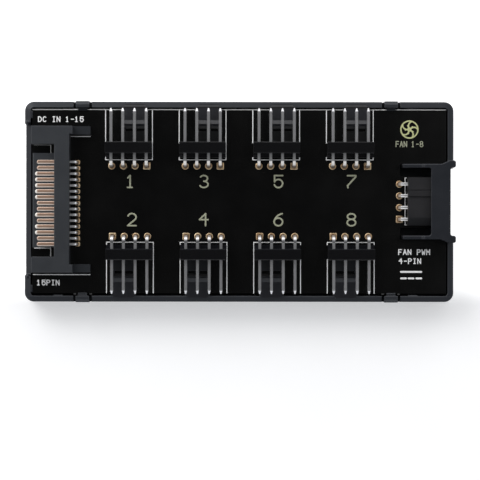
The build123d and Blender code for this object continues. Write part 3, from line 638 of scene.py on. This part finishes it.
def stepped_grey(name):
    """Glass-filled connector plastic: matt grey on its high faces, and darker on the low ones as painted shade."""
    material, shader, place = finish(name)
    shader.inputs["Specular Tint"].default_value = COOL
    clouds = noise(material, place, 260, 3)
    fine = noise(material, place, 3600, 3)
    # Painted shade: the darker tone on the low faces.
    low = tint(material, clouds, (0.0034, 0.0037, 0.0044), (0.0048, 0.0051, 0.0060))
    high = tint(material, clouds, (0.0195, 0.0205, 0.0225), (0.0235, 0.0245, 0.0265))
    rise = along(material, place, "Z", BOARD_TOP + 3.05 * MM, BOARD_TOP + 3.6 * MM)
    link(material, blend(material, rise, low, high), shader.inputs["Base Color"])
    link(material, spread(material, clouds, 0.44, 0.52), shader.inputs["Roughness"])
    grain(material, shader, fine, 0.006 * MM, 0.05 * MM)
    return material


def ink(name, dark, light):
    """Screen-printed ink: matt, with a slightly uneven cover."""
    material, shader, place = finish(name)
    shader.inputs["Specular IOR Level"].default_value = 0.3
    cover = noise(material, place, 2500, 3)
    link(material, tint(material, cover, dark, light), shader.inputs["Base Color"])
    link(material, spread(material, cover, 0.55, 0.75), shader.inputs["Roughness"])
    grain(material, shader, cover, 0.001 * MM)
    return material


def solder_mask(name):
    """Black mask over glass-fibre laminate: satin on both faces, with bare pale fibre along the +Y scored edge, while
    the -Y scored edge stays black as painted shade.
    """
    material, shader, place = finish(name)
    weave = noise(material, place, 1500, 2)
    clouds = noise(material, place, 180, 3)
    black = tint(material, clouds, (0.0006, 0.0006, 0.0006), (0.0009, 0.0009, 0.0008))
    shader.inputs["Specular IOR Level"].default_value = 0.44
    fibre = tint(material, weave, (0.72, 0.72, 0.71), (0.84, 0.84, 0.83))
    # Only the +Y scored edge shows its fibre; the -Y one stays black as painted shade.
    edge = band(material, place, "Y", BOARD_HIGH.y - 0.26 * MM, BOARD_HIGH.y - 0.06 * MM, 0.02 * MM)
    link(material, blend(material, edge, black, fibre), shader.inputs["Base Color"])
    link(material, spread(material, clouds, 0.20, 0.24), shader.inputs["Roughness"])
    grain(material, shader, weave, 0.0006 * MM)
    return material


TRAY = tray_plastic("tray_black")
HEADER = header_black("header_black")
HOUSING = housing_grey("housing_grey")
CONNECTOR = stepped_grey("connector_grey")
TIN = dipped_tin("dipped_tin")
LEG_TIN = edged_tin("leg_tin")
GOLD = gold_to_tin("contact_plating")
PAD = plated("pad_plating", (0.76, 0.50, 0.28), (1.0, 0.80, 0.52), 0.26, 0.38, (700, 700, 700), 0.0)
# Painted shade for the holes' depth, in a dark plating brown.
HOLE_SHADE = plated("hole_shade", (0.20, 0.11, 0.07), (0.34, 0.21, 0.14), 0.3, 0.45, (3000, 3000, 3000), 0.0)
BOARD = solder_mask("black_mask")
WHITE_INK = ink("white_ink", (0.90, 0.90, 0.89), (0.97, 0.97, 0.96))
OLIVE_INK = ink("olive_ink", (0.33, 0.34, 0.24), (0.39, 0.40, 0.29))
LIME_INK = ink("lime_ink", (0.48, 0.50, 0.24), (0.56, 0.58, 0.30))
RESIN = moulded("chip_resin", (0.012, 0.012, 0.012), (0.020, 0.020, 0.020), 0.5, 0.6, 6000, 0.008 * MM, 0.05 * MM)
CERAMIC = moulded("fired_ceramic", (0.28, 0.20, 0.13), (0.36, 0.27, 0.19), 0.5, 0.65, 6000, 0.004 * MM, 0.04 * MM)
NICKEL = plated("nickel_plate", (0.50, 0.50, 0.50), (0.60, 0.60, 0.60), 0.25, 0.35, (2000, 2000, 2000), 0.1 * MM)

SLOT_FINISH = {
    "tray_plastic": TRAY,
    "header_plastic": HEADER,
    "connector_plastic": CONNECTOR,
    "tinned_pins": TIN,
    "plated_contacts": GOLD,
    "board_laminate": BOARD,
    "chip_resin": RESIN,
    "ceramic_parts": CERAMIC,
    "magnet_plating": NICKEL,
}
NODE_FINISH = {"control_header": HOUSING, "control_pins": LEG_TIN}


def finish_nodes():
    """Gives every solid its own finish, or the finish of its slot in the record."""
    for row in frame["record"]["subparts"]:
        node = frame["nodes"][row["node"]]
        material = NODE_FINISH.get(row["node"], SLOT_FINISH[row["material_slot"]])
        node.data.materials.clear()
        node.data.materials.append(material)
        node.data.polygons.foreach_set("material_index", np.zeros(len(node.data.polygons), dtype=np.int32))


# Places on the board

def header_legs(number):
    """Middle of a header's row of legs, and the way its pins point: +1 for odd, -1 for even numbers."""
    low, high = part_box(f"fan_pins_{number}")
    way = 1 if number % 2 else -1
    leg = (low.y if way > 0 else high.y) + way * 0.32 * MM
    return (low.x + high.x) / 2, leg, way


def header_outlines():
    """Printed frame round each header: a rear line by the legs, and two sides from the board's edge.

    The side away from the board's middle is broken beside the block's foot, and ends in a short tick.
    Some headers have both sides broken.
    """
    strokes = []
    for number in range(1, 9):
        x, leg, way = header_legs(number)
        middle = x + OUTLINE_SHIFT[number % 2]
        out = math.copysign(OUTLINE_HALF, x)
        rear = leg + way * OUTLINE_REAR[number % 2]
        edge = way * (BOARD_HIGH.y - 0.35 * MM)
        strokes.append(line(middle - out, rear, middle + out, rear))
        for side in (middle - out, middle + out):
            if side == middle + out or number in BROKEN_BOTH:
                strokes.append(line(side, edge, side, leg + way * BLOCK_FRONT))
                strokes.append(line(side, rear + way * OUTLINE_TICK, side, rear))
            else:
                strokes.append(line(side, edge, side, rear))
    return strokes


def header_numerals():
    """Number of each channel between the two rows."""
    strokes = []
    for number in range(1, 9):
        left = NUMERAL_LEFT[(number - 1) // 2]
        strokes += written(str(number), left, NUMERAL_LOW[number % 2], NUMERAL_HEIGHT, 0)
    return strokes


def connector_lines():
    """Printed marks of the power connector, partly hidden under it."""
    return [
        line(-36.6 * MM, 14.18 * MM, -32.4 * MM, 14.18 * MM),
        line(-44.7 * MM, -15.86 * MM, -32.4 * MM, -15.86 * MM),
        line(-44.5 * MM, 12.36 * MM, -40.93 * MM, 12.36 * MM),
        line(-40.93 * MM, 12.36 * MM, -40.93 * MM, -12.3 * MM),
        line(-44.45 * MM, -10.12 * MM, -40.93 * MM, -10.12 * MM),
    ]


def control_lines():
    """Printed line behind the control input, with a short tick at each end."""
    return [
        line(36.08 * MM, 5.22 * MM, 36.08 * MM, -5.0 * MM),
        line(36.08 * MM, 5.22 * MM, 36.36 * MM, 5.22 * MM),
        line(36.08 * MM, -5.0 * MM, 36.36 * MM, -5.0 * MM),
    ]


def fan_symbol(x, y, size):
    """Plain symbol of a fan: a ring, a hub and five curved blades, each blade part of an ellipse."""
    turns = np.radians(np.arange(5) * 72.0)
    blade = arc(0.27, 0.0, 0.19, 0.13, 20, 250)
    blades = [
        blade @ np.array([[math.cos(t), math.sin(t)], [-math.sin(t), math.cos(t)]]) for t in turns
    ]
    strokes = [arc(0, 0, 0.5, 0.5, 0, 180), arc(0, 0, 0.5, 0.5, 180, 360), arc(0, 0, 0.05, 0.05, 0, 360)] + blades
    return [stroke * size + np.array([x, y]) for stroke in strokes]


def direct_current_symbol(x, y, size):
    """Plain symbol of direct current: a full line over three short ones."""
    return [
        line(x, y + 0.32 * size, x + size, y + 0.32 * size),
        line(x, y, x + 0.24 * size, y),
        line(x + 0.38 * size, y, x + 0.62 * size, y),
        line(x + 0.76 * size, y, x + size, y),
    ]


def pad_places():
    """Middle of every pad under the headers and the control input, and whether it marks the first pin."""
    spots = []
    first = []
    steps = (np.arange(4) - 1.5) * PIN_PITCH
    for number in range(1, 9):
        x, leg, way = header_legs(number)
        spots += [(x + step, leg) for step in steps]
        first += [step * way > 1.2 * PIN_PITCH for step in steps]
    low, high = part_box("control_pins")
    middle = (low.y + high.y) / 2
    spots += [(low.x + 0.32 * MM, middle + step) for step in steps]
    first += [step < -1.2 * PIN_PITCH for step in steps]
    return np.array(spots), np.array(first)


def tail_places():
    """Middle of every pad at the power connector's tails."""
    low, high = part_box("power_contacts_short")
    middle = (low.y + high.y) / 2
    x = high.x - 0.175 * MM
    return np.array([(x, middle + (i - 7) * CONTACT_PITCH) for i in range(15)])


def print_board():
    """Pads, hole mouths, outlines, numerals and legends on the board."""
    spots, first = pad_places()
    tails = tail_places()
    dress(pad_piece("leg_pads", spots, PAD_RADIUS, PAD_RADIUS, PAD_HOLE, np.where(first, 14.0, 2.0)),
          PAD)
    dress(pad_piece("tail_pads", tails, *TAIL_PAD, TAIL_HOLE, np.full(len(tails), 3.5)), PAD)
    dress(well_piece("leg_wells", spots, PAD_HOLE), HOLE_SHADE)
    dress(well_piece("tail_wells", tails, TAIL_HOLE), HOLE_SHADE)
    dress(print_piece("header_outlines", header_outlines(), OUTLINE_WIDTH, BOARD_TOP), WHITE_INK)
    dress(print_piece("header_numerals", header_numerals(), NUMERAL_WIDTH, BOARD_TOP), OLIVE_INK)
    dress(print_piece("connector_lines", connector_lines(), OUTLINE_WIDTH, BOARD_TOP), WHITE_INK)
    dress(print_piece("control_lines", control_lines(), CONTROL_LINE_WIDTH, BOARD_TOP), WHITE_INK)
    legends = []
    for words, x, y in LEGENDS:
        legends += written(words, x, y, LEGEND_HEIGHT, LEGEND_PITCH, LEGEND_NARROW)
    dress(print_piece("legends", legends, LEGEND_WIDTH, BOARD_TOP), WHITE_INK)
    symbol = direct_current_symbol(35.2 * MM, -16.6 * MM, 4.4 * MM)
    dress(print_piece("current_symbol", symbol, 0.42 * MM, BOARD_TOP), WHITE_INK)
    fan = fan_symbol(37.0 * MM, 15.75 * MM, 3.7 * MM)
    dress(print_piece("fan_symbol", fan, 0.32 * MM, BOARD_TOP), LIME_INK)
    channels = written("FAN 1-8", 34.1 * MM, 12.0 * MM, 1.15 * MM, 0.87 * MM, 0.75)
    dress(print_piece("fan_legend", channels, 0.2 * MM, BOARD_TOP), OLIVE_INK)


# Stage

def floor():
    """Wide white floor under the hub. Seen directly or in a mirror it is white, and it keeps the hub's shadow.

    Its own glow is weaker close to the -Y side, away from the lights, where the shadow falls.
    """
    half = 4.0
    ends = np.linspace(-half, half, 3)
    x, y = np.meshgrid(ends, ends, indexing="ij")
    points = np.stack([x, y, np.full_like(x, -0.0001)], -1)[None]
    piece = surface_piece("floor", points)
    material, shader, place = finish("floor_white")
    nodes = material.node_tree.nodes
    shader.inputs["Roughness"].default_value = 0.9
    shader.inputs["Specular IOR Level"].default_value = 0.0
    speck = noise(material, place, 40, 2)
    link(material, tint(material, speck, (0.88, 0.88, 0.88), (0.90, 0.90, 0.90)), shader.inputs["Base Color"])
    ray = nodes.new("ShaderNodeLightPath")
    seen = larger(material, ray.outputs["Is Camera Ray"], ray.outputs["Is Glossy Ray"])
    seen = larger(material, seen, ray.outputs["Is Transmission Ray"])
    clear = larger(material, along(material, place, "Y", -23 * MM, -17 * MM),
                   along(material, place, "Y", -50 * MM, -130 * MM))
    back = scaled(material, clear, 0.30, 0.80)
    shader.inputs["Emission Color"].default_value = (1, 1, 1, 1)
    link(material, product(material, seen, back), shader.inputs["Emission Strength"])
    piece.data.materials.append(material)


def studio():
    """Soft dome: dim straight above, where the camera is, bright at the sides, and cooler on the weaker side."""
    world = bpy.data.worlds.new("studio")
    bpy.context.scene.world = world
    world.use_nodes = True
    nodes = world.node_tree.nodes
    links = world.node_tree.links
    background = nodes["Background"]
    place = nodes.new("ShaderNodeTexCoord")
    split = nodes.new("ShaderNodeSeparateXYZ")
    links.new(place.outputs["Generated"], split.inputs["Vector"])
    ramp = nodes.new("ShaderNodeValToRGB")
    ramp.color_ramp.interpolation = "EASE"
    ramp.color_ramp.elements[0].position = 0.82
    ramp.color_ramp.elements[0].color = (0.80, 0.80, 0.82, 1)
    ramp.color_ramp.elements[1].position = 0.985
    ramp.color_ramp.elements[1].color = (0.06, 0.06, 0.06, 1)
    links.new(split.outputs["Z"], ramp.inputs["Fac"])
    lean = nodes.new("ShaderNodeVectorMath")
    lean.operation = "DOT_PRODUCT"
    lean.inputs[1].default_value = (-0.5, 0.7, 0.0)
    links.new(place.outputs["Generated"], lean.inputs[0])
    side = nodes.new("ShaderNodeMapRange")
    side.inputs["From Min"].default_value = -0.7
    side.inputs["From Max"].default_value = 0.7
    side.inputs["To Min"].default_value = 0.55
    side.inputs["To Max"].default_value = 1.2
    links.new(lean.outputs["Value"], side.inputs["Value"])
    cast = nodes.new("ShaderNodeValToRGB")
    cast.color_ramp.elements[0].color = (0.92, 0.96, 1.0, 1)
    cast.color_ramp.elements[1].color = (1.0, 0.99, 0.98, 1)
    half = nodes.new("ShaderNodeMapRange")
    half.inputs["From Min"].default_value = -0.5
    half.inputs["From Max"].default_value = 0.5
    links.new(lean.outputs["Value"], half.inputs["Value"])
    links.new(half.outputs["Result"], cast.inputs["Fac"])
    mixed = nodes.new("ShaderNodeMix")
    mixed.data_type = "RGBA"
    mixed.blend_type = "MULTIPLY"
    mixed.inputs["Factor"].default_value = 1.0
    links.new(ramp.outputs["Color"], mixed.inputs["A"])
    links.new(cast.outputs["Color"], mixed.inputs["B"])
    links.new(mixed.outputs["Result"], background.inputs["Color"])
    links.new(side.outputs["Result"], background.inputs["Strength"])


def softbox(name, place, aim, size, power):
    """Rectangular soft light at a place, turned towards a point."""
    light = bpy.data.lights.new(name, "AREA")
    light.shape = "RECTANGLE"
    light.size, light.size_y = size
    light.energy = power
    lamp = bpy.data.objects.new(name, light)
    bpy.context.scene.collection.objects.link(lamp)
    way = Vector(aim) - Vector(place)
    lamp.matrix_world = Matrix.Translation(place) @ way.to_track_quat("-Z", "Y").to_matrix().to_4x4()


def camera():
    """Camera straight above the board, turned so that +Y is up in the picture."""
    data = bpy.data.cameras.new("camera")
    data.lens = CAMERA_LENS
    data.sensor_width = SENSOR
    data.clip_start = 0.01
    eye = bpy.data.objects.new("camera", data)
    bpy.context.scene.collection.objects.link(eye)
    eye.location = (CAMERA_X, CAMERA_Y, BOARD_TOP + CAMERA_HEIGHT)
    eye.rotation_euler = (0, 0, CAMERA_TURN)
    bpy.context.scene.camera = eye


finish_nodes()
print_board()
floor()
studio()
for light in LIGHTS:
    softbox(*light)
camera()

scene = bpy.context.scene
scene.view_settings.view_transform = "Standard"
